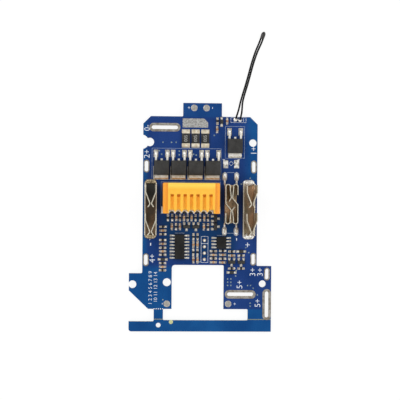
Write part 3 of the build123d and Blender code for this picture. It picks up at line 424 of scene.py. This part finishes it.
# Near black as painted shade, for the posts in the connector's mouths
shaded_contact = tinned(
    "shaded_contact", (0.05, 0.045, 0.04), (0.02, 0.02, 0.02), rough=0.4, metallic=0.3
)
via_rim = tinned(
    "via_rim", (0.36, 0.44, 0.42), (0.10, 0.17, 0.22), rough=0.4, metallic=0.35, patch=0.5
)
bare_laminate = moulded(
    "bare_laminate", (0.50, 0.52, 0.24), (0.66, 0.66, 0.36), rough=0.6, grain_size=0.2
)
chip_black = moulded(
    "chip_black", (0.006, 0.006, 0.006), (0.012, 0.012, 0.011),
    rough=0.42, Specular_IOR_Level=0.25,
)
chip_cap = tinned(
    "chip_cap", (0.84, 0.81, 0.74), (0.30, 0.23, 0.16),
    rough=0.3, metallic=0.35, patch=0.5, relief=0.05,
)
shunt_cap = tinned("shunt_cap", (0.90, 0.84, 0.70), (0.66, 0.56, 0.40), rough=0.32, metallic=0.35)
power_lead = tinned("power_lead", (1.0, 0.98, 0.92), (0.80, 0.75, 0.64), rough=0.26, metallic=0.25)
plated = tinned(
    "plated_lining", (0.47, 0.445, 0.40), (0.28, 0.24, 0.19), rough=0.36, metallic=0.7, patch=1.1
)
own_finish = {
    **{f"power_transistor_{i}_leads": power_lead for i in ALL_POWER},
    "spare_pads": tinned(
        "spare_pad", (1.0, 0.98, 0.92), (0.20, 0.18, 0.16),
        rough=0.28, metallic=0.35, patch=1.4, relief=0.08,
    ),
    "tinned_plane": tinned(
        "speckled_plane", (0.56, 0.56, 0.54), (0.27, 0.26, 0.25),
        rough=0.42, metallic=0.6, patch=0.45, relief=0.06,
    ),
    "lead_pads": tinned(
        "lead_pads", (0.66, 0.63, 0.56), (0.34, 0.30, 0.24), rough=0.36, metallic=0.45
    ),
    "lamp_pads": tinned(
        "levelled_tin", (0.52, 0.50, 0.46), (0.38, 0.36, 0.33), rough=0.4, metallic=0.6, patch=0.6
    ),
    "header_plugs": tinned(
        "header_ring", (0.60, 0.50, 0.34), (0.40, 0.28, 0.15), rough=0.34, metallic=0.6
    ),
    "controller_chip": chip_black,
    "driver_chip": chip_black,
    "shunt_resistor_ends": shunt_cap,
    "chip_resistor_ends": chip_cap,
    "chip_capacitor_ends": chip_cap,
    # Channel floors from painted shade to their warm colour; the negative one darkest, towards its
    # head
    "negative_terminal": spring_sheet(
        "negative_sheet", (0.04, 0.038, 0.032), (0.32, 0.20, 0.11), dark_from=3.5
    ),
    "positive_terminal": spring_sheet("positive_sheet", (0.24, 0.19, 0.12), (0.52, 0.31, 0.17)),
    "negative_terminal_solder": solder("stained_solder", (0.56, 0.45, 0.28), (0.17, 0.12, 0.06)),
    **{name: plated for name in nodes if name.startswith("slot_lining")},
}
slot_of = {entry["node"]: entry["material_slot"] for entry in frame["record"]["subparts"]}


def finish_of(node):
    """A CAD node's own finish, or that of its slot in the record."""
    return own_finish.get(node, finishes[slot_of[node]])


def add_piece(name, data, material):
    """Puts a mesh or curve in the scene as one piece that rides on the board."""
    data.materials.append(material)
    piece = bpy.data.objects.new(name, data)
    scene.collection.objects.link(piece)
    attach(piece, "root")
    return piece


# Edges between faces at a steeper angle than this stay sharp
SHARP = radians(32)


def finish_mesh(build, name):
    """Closes a bmesh as a mesh that is smooth except across its sharp edges."""
    mesh = bpy.data.meshes.new(name)
    build.to_mesh(mesh)
    build.free()
    mesh.shade_smooth()
    mesh.set_sharp_from_angle(angle=SHARP)
    return mesh


def add_built(name, build, material):
    """Closes a bmesh as one piece."""
    return add_piece(name, finish_mesh(build, name), material)


def seat(place, size=(1, 1, 1)):
    """Takes a unit shape to its size and place, both in millimetres."""
    return Matrix.Scale(MM, 4) @ Matrix.Translation(place) @ Matrix.Diagonal((*size, 1))


def add_block(build, middle, size):
    """A plain block in a bmesh, by its middle and its size. Hands back its corners."""
    return bmesh.ops.create_cube(build, size=1, matrix=seat(middle, size))["verts"]


# Thermistor leads: the routes of the solids, laid side by side as they are in the photograph
LEAD_D = 0.7
left_route = [
    (13.73, 39.62, 3.2), (14.3, 41.4, 3.9), (14.95, 43.6, 3.5), (15.65, 46.4, 1.8),
    (16.62, 49.6, 0.6), (17.9, 53.7, 0.36), (19.1, 58.2, 0.36), (20.3, 62.8, 0.36),
    (21.85, 67.4, 0.36), (23.2, 70.5, 0.9), (23.75, 72.1, 0.9),
]
right_route = [
    (15.52, 39.55, 3.2), (15.95, 41.3, 3.9), (16.2, 43.5, 3.5), (16.43, 46.2, 1.8),
    (17.33, 49.4, 0.6), (18.6, 53.5, 0.36), (19.8, 58.0, 0.36), (21.01, 62.6, 0.36),
    (22.58, 67.15, 0.36), (24.02, 70.218, 0.9), (24.57, 71.818, 0.9),
]
insulation = finishes["lead_insulation"]
for side, route, length in (("left", left_route, 34.8), ("right", right_route, 34.5)):
    curve = bpy.data.curves.new(f"insulated_lead_{side}", "CURVE")
    curve.dimensions = "3D"
    spline = curve.splines.new("NURBS")
    spline.points.add(len(route) - 1)
    for point, place in zip(spline.points, route):
        point.co = (*(Vector(place) * MM), 1)
    spline.order_u = 3
    spline.use_endpoint_u = True
    spline.resolution_u = 12
    curve.bevel_depth = LEAD_D / 2 * MM
    curve.bevel_resolution = 6
    curve.use_fill_caps = True
    lead = add_piece(f"insulated_lead_{side}", curve, insulation)
    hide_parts(f"thermistor_lead_{side}")

# Solids whose edges are eased: width in millimetres
EASED = {
    "connector_cover": 0.12,
    "connector_base": 0.1,
    "negative_terminal": 0.07,
    "positive_terminal": 0.07,
    "charge_terminal": 0.06,
    "controller_chip": 0.07,
    "driver_chip": 0.07,
    "small_transistors": 0.06,
    "signal_diodes": 0.06,
    "shunt_resistor_1": 0.06,
    "shunt_resistor_2": 0.06,
    "shunt_resistor_3": 0.06,
    **{f"power_transistor_{i}_body": 0.1 for i in ALL_POWER},
}

# What counts as one corner, as a face without width, and as one flat face
SAME_PLACE = 0.0001 * MM
SLIVER = 0.0005 * MM
FLAT = radians(1)


def merged_copy(node):
    """A bmesh of a solid in which the faces share their corners."""
    build = bmesh.new()
    build.from_mesh(nodes[node].data)
    bmesh.ops.remove_doubles(build, verts=build.verts, dist=SAME_PLACE)
    return build


def ease(node, width):
    """A copy of a solid with its edges rounded, which stands for the node."""
    build = merged_copy(node)
    bmesh.ops.dissolve_limit(build, angle_limit=FLAT, verts=build.verts, edges=build.edges)
    sharp = [edge for edge in build.edges if edge.is_manifold and edge.calc_face_angle() > SHARP]
    bmesh.ops.bevel(
        build,
        geom=sharp,
        offset=width * MM,
        affect="EDGES",
        segments=2,
        profile=0.5,
        material=-1,
        clamp_overlap=True,
    )
    bmesh.ops.dissolve_degenerate(build, dist=SLIVER, edges=build.edges)
    piece = add_built(f"eased_{node}", build, finish_of(node))
    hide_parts(node)


for node, width in EASED.items():
    ease(node, width)

# The solids themselves wear their finishes too
for name, node in nodes.items():
    node.data.materials.clear()
    node.data.materials.append(finish_of(name))


def ribbons(name, level, thick, paths, material):
    """Low rounded lines on a face: each has its width, its points, and if it closes."""
    curve = bpy.data.curves.new(name, "CURVE")
    curve.dimensions = "3D"
    curve.bevel_depth = 0.5
    curve.bevel_resolution = 2
    curve.use_fill_caps = True
    for width, points, closed in paths:
        spline = curve.splines.new("POLY")
        spline.points.add(len(points) - 1)
        for point, (x, y) in zip(spline.points, points):
            point.co = (x, y, 0, 1)
            point.radius = width
        spline.use_cyclic_u = closed
    line = bpy.data.objects.new(name, curve)
    mesh = bpy.data.meshes.new_from_object(line)
    bpy.data.objects.remove(line)
    widest = max(width for width, _, _ in paths)
    mesh.transform(seat((0, 0, level), (1, 1, 2 * thick / widest)))
    mesh.shade_smooth()
    add_piece(name, mesh, material)


def box_path(left, foot, right_side, head):
    """The corners of an upright frame."""
    return [(left, foot), (right_side, foot), (right_side, head), (left, head)]


# Printed lines: frames, bars and ticks
LINE_W = 0.17
INK_T = 0.02
frames = [
    box_path(0.26, -18.06, 3.02, -7.64),
    box_path(11.81, 38.07, 17.9, 40.05),
    [(12.03, 20.75), (12.9, 21.62), (12.03, 22.49), (11.16, 21.62)],
]
lines = [
    [(0.26, -10.5), (3.02, -10.5)],
    [(8.6, 23.2), (9.5, 23.2)],
    [(14.6, 23.2), (15.5, 23.2)],
    [(-20.3, -9.3), (-20.3, -8.4)],
    [(19.1, -8.9), (19.1, -8.0)],
    [(14.1, -7.2), (14.1, -6.3)],
    [(13.1, 38.4), (13.1, 39.8)],
    [(15.0, 38.4), (15.0, 39.8)],
    [(16.9, 38.4), (16.9, 39.8)],
]
faint_frames = [
    box_path(-19.62, 15.02, 8.0, 27.49),
    box_path(9.64, 23.74, 17.34, 36.48),
]
faint_lines = [
    [(10.4, 18.0), (13.4, 18.0)],
    [(10.4, -6.3), (13.4, -6.3)],
    [(-15.9, 1.2), (-15.9, 14.08), (7.8, 14.08), (7.8, 1.2)],
    [(-10.3, -6.35), (-6.5, -6.35)],
    [(6.6, -7.2), (10.0, -7.2)],
]
for name, closed, opened, its_ink in (
    ("printed_lines", frames, lines, ink),
    ("faint_printed_lines", faint_frames, faint_lines, faint_ink),
):
    paths = [(LINE_W, path, True) for path in closed] + [(LINE_W, path, False) for path in opened]
    ribbons(name, TOP, INK_T, paths, its_ink)

# Printed signs and plain numbers, read up the board: text, place and letter height
SIGNS = [
    ("0-", -21.6, 35.6, 2.2),
    ("2+", -21.6, 25.2, 2.3),
    ("1+", 21.2, 26.8, 2.3),
    ("3+", 21.1, -21.8, 2.3),
    ("3+", 24.1, -21.8, 2.3),
    ("4+", -19.15, -16.5, 2.3),
    ("5+", 15.9, -26.8, 2.3),
    ("5+", 23.2, -34.2, 2.3),
    ("-", -20.3, -10.9, 3.2),
    ("+", 19.1, -10.9, 2.6),
    ("-", 14.1, -8.7, 3.0),
    ("+", -4.9, 43.8, 1.5),
    ("-", 4.2, 43.8, 1.8),
    ("1 2 3 4 5 6 7 8 9", -19.9, -28.3, 1.4),
    ("10 11 12 13 14", -17.8, -28.0, 1.4),
    ("-", -15.3, -34.6, 1.8),
    ("+", 14.0, -34.6, 1.5),
]
CAP_SHARE = 0.7
STROKE = -0.008


def sign_mesh(text, x, y, letter_h, level=TOP):
    """One printed sign, centred on its place and read up the board."""
    curve = bpy.data.curves.new("sign", "FONT")
    curve.body = text
    curve.size = letter_h / CAP_SHARE
    curve.offset = STROKE * letter_h
    curve.extrude = INK_T
    curve.align_x = "CENTER"
    curve.align_y = "CENTER"
    letters = bpy.data.objects.new("sign", curve)
    mesh = bpy.data.meshes.new_from_object(letters)
    bpy.data.objects.remove(letters)
    mesh.transform(seat((x, y, level)) @ Matrix.Rotation(pi / 2, 4, "Z"))
    return mesh


def add_signs(name, signs, material):
    """Several printed signs as one piece."""
    build = bmesh.new()
    for sign in signs:
        build.from_mesh(sign_mesh(*sign))
    add_built(name, build, material)


add_signs("printed_signs", SIGNS, ink)

# Plain value digits on the shunts
SHUNT_SIGN_H = 1.3
shunt_boxes = [box_mm(f"shunt_resistor_{i}") for i in range(1, 4)]
shunt_values = []
for low, high in shunt_boxes:
    middle = (low + high) / 2
    shunt_values.append(("005", middle.x, middle.y, SHUNT_SIGN_H, high.z))
add_signs("shunt_values", shunt_values, shunt_ink)

# Copper tracks that show as low ridges under the mask, in four widths
TRACK_T = 0.016
SIGNAL, SUPPLY, BUS, RAIL = 0.25, 0.3, 0.4, 0.8
top_tracks = [
    (SIGNAL, [(-13.6, -4.6), (-13.6, -7.5), (-12.3, -8.8), (-12.3, -16.4)]),
    (SIGNAL, [(-17.6, -3.0), (-17.6, -19.5), (-16.2, -20.9)]),
    (SIGNAL, [(-18.2, -2.0), (-18.2, -23.4), (-14.9, -26.7), (-14.9, -33.0)]),
    (SIGNAL, [(-0.2, -6.0), (-0.2, -17.8)]),
    (SIGNAL, [(3.6, -5.2), (3.6, -17.9), (4.3, -18.6)]),
    (SIGNAL, [(11.0, -11.8), (11.0, -22.0), (12.4, -23.4), (14.2, -23.4)]),
    (SIGNAL, [(14.45, -12.4), (14.45, -21.2)]),
    (SIGNAL, [(18.2, -12.0), (18.2, -24.6), (16.6, -26.2)]),
    (SUPPLY, [(19.4, -14.0), (19.4, -25.0), (23.0, -28.6), (23.0, -31.0)]),
    (SIGNAL, [(-6.0, 29.0), (-9.2, 29.0), (-10.1, 29.9), (-15.3, 29.9)]),
    (SIGNAL, [(5.2, 32.8), (5.2, 29.0), (7.4, 26.8)]),
    (SIGNAL, [(8.1, 36.6), (8.1, 33.0), (9.0, 32.1), (9.0, 24.0)]),
    (BUS, [(18.5, 36.8), (18.5, 24.5), (19.8, 23.2), (19.8, 15.8)]),
    (SIGNAL, [(15.1, 14.5), (16.2, 13.4), (16.2, -4.0)]),
    (SIGNAL, [(8.6, 15.0), (8.6, -4.4)]),
    (SUPPLY, [(-22.4, 18.0), (-22.4, -8.0)]),
    (SUPPLY, [(21.9, 17.2), (21.9, -8.2)]),
]

# Below the board, a track from each of the connector's pins but the left one
PIN_XS = (-9.1, -6.6, -4.0, -1.5, 1.0, 3.6)
STEP_ASIDE = 3.0
pin_tracks = []
for i, x in enumerate(PIN_XS):
    bend = 2.0 - 1.1 * i
    aside = x - STEP_ASIDE
    route = [(x, 8.0), (x, bend), (aside, bend - STEP_ASIDE), (aside, -6.0 - 1.2 * i)]
    pin_tracks.append((SIGNAL, route))
under_tracks = [
    (SUPPLY, [(-18.0, 33.0), (-18.0, -12.0), (-15.5, -14.5), (-15.5, -30.0)]),
    (SUPPLY, [(-13.0, 33.5), (-13.0, 16.0), (-11.6, 14.6), (-11.6, 12.4)]),
    *pin_tracks,
    (BUS, [(9.5, 15.0), (9.5, 4.0), (4.5, -1.0), (1.6, -6.5)]),
    (BUS, [(14.3, 15.0), (14.3, 0.0), (17.0, -2.7), (17.0, -14.0)]),
    (RAIL, [(19.1, 12.0), (19.1, -6.0)]),
    (RAIL, [(-20.1, 12.0), (-20.1, -6.0)]),
    (SUPPLY, [(11.2, -33.6), (12.4, -34.8), (22.5, -34.8)]),
]
for name, level, tracks in (
    ("tracks_above", TOP, top_tracks),
    ("tracks_below", BOTTOM, under_tracks),
):
    paths = [(width, points, False) for width, points in tracks]
    ribbons(name, level, TRACK_T, paths, finishes["solder_mask"])

# Vias, tented and bare: a low tinned rim at each end of its hole
VIA_R = 0.3
VIA_RIM_T = 0.03
VIA_RIM_W = 0.13
VIA_DIMPLE = 0.02
via_places = [
    (-15.3, 29.9), (-11.9, 29.9), (-10.1, 29.9), (5.2, 32.8), (21.3, -28.3), (20.15, -34.3),
    (20.15, -35.5), (-17.6, -3.0), (-0.2, -17.8), (14.45, -21.2), (14.2, -23.4), (16.2, 13.4),
    (-16.8, 26.5), (-15.8, 25.1), (-8.8, 26.4), (-8.8, 24.9), (-3.0, 25.2), (-2.0, 24.9),
    (11.0, -24.6), (11.0, -25.9), (11.0, -27.2), (12.3, -24.6), (12.3, -25.9), (12.3, -27.2),
    (19.0, -27.2), (20.2, -27.2),
    (19.8, 15.8), (18.2, -12.0), (-14.9, -33.0), (19.4, -14.0), (23.0, -31.0),
]
build = bmesh.new()
for x, y in via_places:
    for level, outward in ((TOP, 1), (BOTTOM, -1)):
        stud = bmesh.ops.create_cone(
            build,
            cap_ends=True,
            segments=14,
            radius1=VIA_R,
            radius2=VIA_R,
            depth=2 * VIA_RIM_T,
            matrix=seat((x, y, level)),
        )
        faces = {face for vert in stud["verts"] for face in vert.link_faces}
        disc = max(faces, key=lambda face: outward * face.calc_center_median().z)
        bmesh.ops.inset_region(build, faces=[disc], thickness=VIA_RIM_W * MM)
        bmesh.ops.translate(build, verts=disc.verts, vec=(0, 0, -VIA_DIMPLE * outward * MM))
add_built("vias", build, via_rim)


# How far over its lowest point a foot reaches up
FOOT_T = 0.05


def feet_of(node):
    """The lowest and highest corners, in millimetres, of the foot of each solid of a node."""
    build = merged_copy(node)
    waiting = set(build.verts)
    feet = []
    for first in build.verts:
        if first not in waiting:
            continue
        waiting.remove(first)
        front = [first]
        corners = []
        while front:
            vert = front.pop()
            corners.append(vert.co / MM)
            for edge in vert.link_edges:
                other = edge.other_vert(vert)
                if other in waiting:
                    waiting.remove(other)
                    front.append(other)
        floor_z = min(corner.z for corner in corners)
        foot = [corner for corner in corners if corner.z < floor_z + FOOT_T]
        low = Vector(min(corner[axis] for corner in foot) for axis in range(3))
        high = Vector(max(corner[axis] for corner in foot) for axis in range(3))
        feet.append((low, high))
    build.free()
    return feet


def mound(build, x, y, half_w, half_l, tall, rings=10):
    """A rounded heap of solder that stands on the board."""
    bmesh.ops.create_uvsphere(
        build,
        u_segments=2 * rings,
        v_segments=rings,
        radius=1,
        matrix=seat((x, y, TOP), (half_w, half_l, tall)),
    )


# A low heap over each fine lead's foot, a little wider and longer than the foot
FINE_LEADS = (
    "controller_chip_leads", "driver_chip_leads", "small_transistor_leads", "signal_diode_leads"
)
FINE_HEAP_RIM = 0.12
FINE_HEAP_H = 0.38
build = bmesh.new()
for node in FINE_LEADS:
    for low, high in feet_of(node):
        middle = (low + high) / 2
        half = (high - low) / 2
        half_w, half_l = half.x + FINE_HEAP_RIM, half.y + FINE_HEAP_RIM
        mound(build, middle.x, middle.y, half_w, half_l, FINE_HEAP_H, rings=5)
add_built("lead_solder", build, bright_solder)

# A tall heap over each power lead's foot, which is narrower than the tab and lies on a pad
LEAD_FOOT_W = 1.0
LEAD_FOOT_REACH = 0.2
POWER_HEAP = (0.76, 1.35, 0.85)
POWER_HEAP_SHIFT = 0.1
build = bmesh.new()
for i in ALL_POWER:
    for low, high in feet_of(f"power_transistor_{i}_leads"):
        if high.x - low.x < LEAD_FOOT_W and low.z < TOP + LEAD_FOOT_REACH:
            middle = (low + high) / 2
            mound(build, middle.x, middle.y + POWER_HEAP_SHIFT, *POWER_HEAP)
add_built("power_lead_solder", build, finishes["solder"])

# A dome and a ridge on each of the charge terminal's legs
LEG_DOME = (0.95, 1.85, 1.2)
LEG_RIDGE = (0.42, 1.35, 1.42)
LEG_RIDGE_IN = 2.2
charge_mid = sum(corner.y for corner in box_mm("charge_terminal")) / 2
build = bmesh.new()
for low, high in feet_of("charge_terminal_solder"):
    middle = (low + high) / 2
    if low.z > BOTTOM:
        inward = 1 if middle.y < charge_mid else -1
        mound(build, middle.x, middle.y, *LEG_DOME)
        mound(build, middle.x, middle.y + LEG_RIDGE_IN * inward, *LEG_RIDGE)

# A cap at each end of the positive terminal, and a drop in each hole of the header
END_CAP_IN = 1.3
HEAD_CAP = (2.2, 1.25, 1.6)
FOOT_CAP = (2.2, 1.15, 1.35)
HEADER_DROP = (0.55, 0.55, 0.6)
low, high = box_mm("positive_terminal_solder")
middle_x = (low.x + high.x) / 2
mound(build, middle_x, high.y - END_CAP_IN, *HEAD_CAP)
mound(build, middle_x, low.y + END_CAP_IN, *FOOT_CAP)
header_x = sum(corner.x for corner in box_mm("header_plugs")) / 2
for low, high in feet_of("header_plugs"):
    mound(build, header_x, (low.y + high.y) / 2, *HEADER_DROP)
add_built("terminal_solder", build, bright_solder)

# Contact ends in the mouths of the connector's base, as flattened posts near black as painted
# shade of the deep mouths
CONTACT_R = 0.9
CONTACT_FLAT = 0.5
CONTACT_H = 2.2
CONTACT_IN = 0.46
front = box_mm("connector_base")[0].y
build = bmesh.new()
for low, high in feet_of("connector_contacts"):
    place = ((low.x + high.x) / 2, front + CONTACT_IN, TOP + CONTACT_H / 2)
    bmesh.ops.create_cone(
        build,
        cap_ends=True,
        segments=24,
        radius1=CONTACT_R,
        radius2=CONTACT_R,
        depth=CONTACT_H,
        matrix=seat(place, (1, CONTACT_FLAT, 1)),
    )
add_built("mouth_shade_posts", build, shaded_contact)

# Solder wedge from the pad up over the edge of each power tab, thin at its toe
WEDGE_H = 0.62
WEDGE_L = 0.7
WEDGE_TOE_H = 0.05
TAB_LAP = 0.32
TAB_WRAP = 0.02
for name, numbers, metal in (
    ("tab_solder_row", ROW_POWER, copper_wet),
    ("tab_solder_lone", LONE_POWER, finishes["solder"]),
):
    build = bmesh.new()
    for i in numbers:
        low, high = box_mm(f"power_transistor_{i}_leads")
        middle = Vector(((low.x + high.x) / 2, low.y + TAB_LAP - WEDGE_L / 2, TOP + WEDGE_H / 2))
        wedge = add_block(build, middle, (high.x - low.x + 2 * TAB_WRAP, WEDGE_L, WEDGE_H))
        centre = middle * MM
        toe = [vert for vert in wedge if vert.co.y < centre.y and vert.co.z > centre.z]
        drop = WEDGE_H - PAD_T - WEDGE_TOE_H
        bmesh.ops.translate(build, verts=toe, vec=(0, 0, -drop * MM))
    add_built(name, build, metal)

# Tinned strip of the pad that shows at the left of each power tab in the row
STRIP_W = 0.62
STRIP_L = 5.4
build = bmesh.new()
for i in ROW_POWER:
    low = box_mm(f"power_transistor_{i}_leads")[0]
    middle = (low.x - STRIP_W / 2, low.y - WEDGE_L + STRIP_L / 2, TOP + PAD_T / 2)
    add_block(build, middle, (STRIP_W, STRIP_L, PAD_T))
add_built("pad_rims", build, finish_of("lead_pads"))

# Tinned ends of the shunts that wrap over their bodies
WRAP_L = 0.45
WRAP_T = 0.03
build = bmesh.new()
for low, high in shunt_boxes:
    for end, inward in ((low.y, 1), (high.y, -1)):
        middle = ((low.x + high.x) / 2, end + inward * WRAP_L / 2, high.z)
        add_block(build, middle, (high.x - low.x, WRAP_L, 2 * WRAP_T))
add_built("shunt_wraps", build, shunt_cap)

# Bare laminate spot on the break-off strip
SPOT_AT = (-11.59, -41.89)
SPOT_FOOT_R = 0.85
SPOT_TOP_R = 0.8
SPOT_T = 0.03
build = bmesh.new()
bmesh.ops.create_cone(
    build,
    cap_ends=True,
    segments=28,
    radius1=SPOT_FOOT_R,
    radius2=SPOT_TOP_R,
    depth=SPOT_T,
    matrix=seat((*SPOT_AT, TOP)),
)
add_built("laminate_spot", build, bare_laminate)

# Pale floor that glows a little, as a light table does
FLOOR_HALF = 3.0
FLOOR_GLOW = 0.9
finish = Finish(
    "light_table", Roughness=0.9, Emission_Strength=FLOOR_GLOW, Base_Color=(0.12, 0.12, 0.12)
)
white = finish.blend(finish.noise(60.0), (0.97, 0.97, 0.97), (1.0, 1.0, 1.0))
build = bmesh.new()
bmesh.ops.create_grid(build, x_segments=1, y_segments=1, size=FLOOR_HALF)
floor = bpy.data.objects.new("floor", finish_mesh(build, "floor"))
floor.data.materials.append(finish.paint(Emission_Color=white))
scene.collection.objects.link(floor)

# Even light from all round, and four softboxes: place in metres and power in watts
SKY_STRENGTH = 0.38
SOFTBOX_SIZE = 0.6
SOFTBOXES = [
    ("key", (-0.50, 0.42, 0.68), 3.0),
    ("fill", (0.55, 0.30, 0.62), 2.0),
    ("front", (-0.30, -0.55, 0.62), 1.9),
    ("side", (0.52, -0.42, 0.60), 1.8),
]
world = bpy.data.worlds.new("studio")
world.use_nodes = True
sky = world.node_tree.nodes["Background"]
sky.inputs["Color"].default_value = (1, 1, 1, 1)
sky.inputs["Strength"].default_value = SKY_STRENGTH
scene.world = world
for name, place, power in SOFTBOXES:
    light = bpy.data.lights.new(name, "AREA")
    light.shape = "SQUARE"
    light.size = SOFTBOX_SIZE
    light.energy = power
    lamp = bpy.data.objects.new(name, light)
    lamp.location = place
    lamp.rotation_euler = Vector(place).to_track_quat("Z", "Y").to_euler()
    scene.collection.objects.link(lamp)
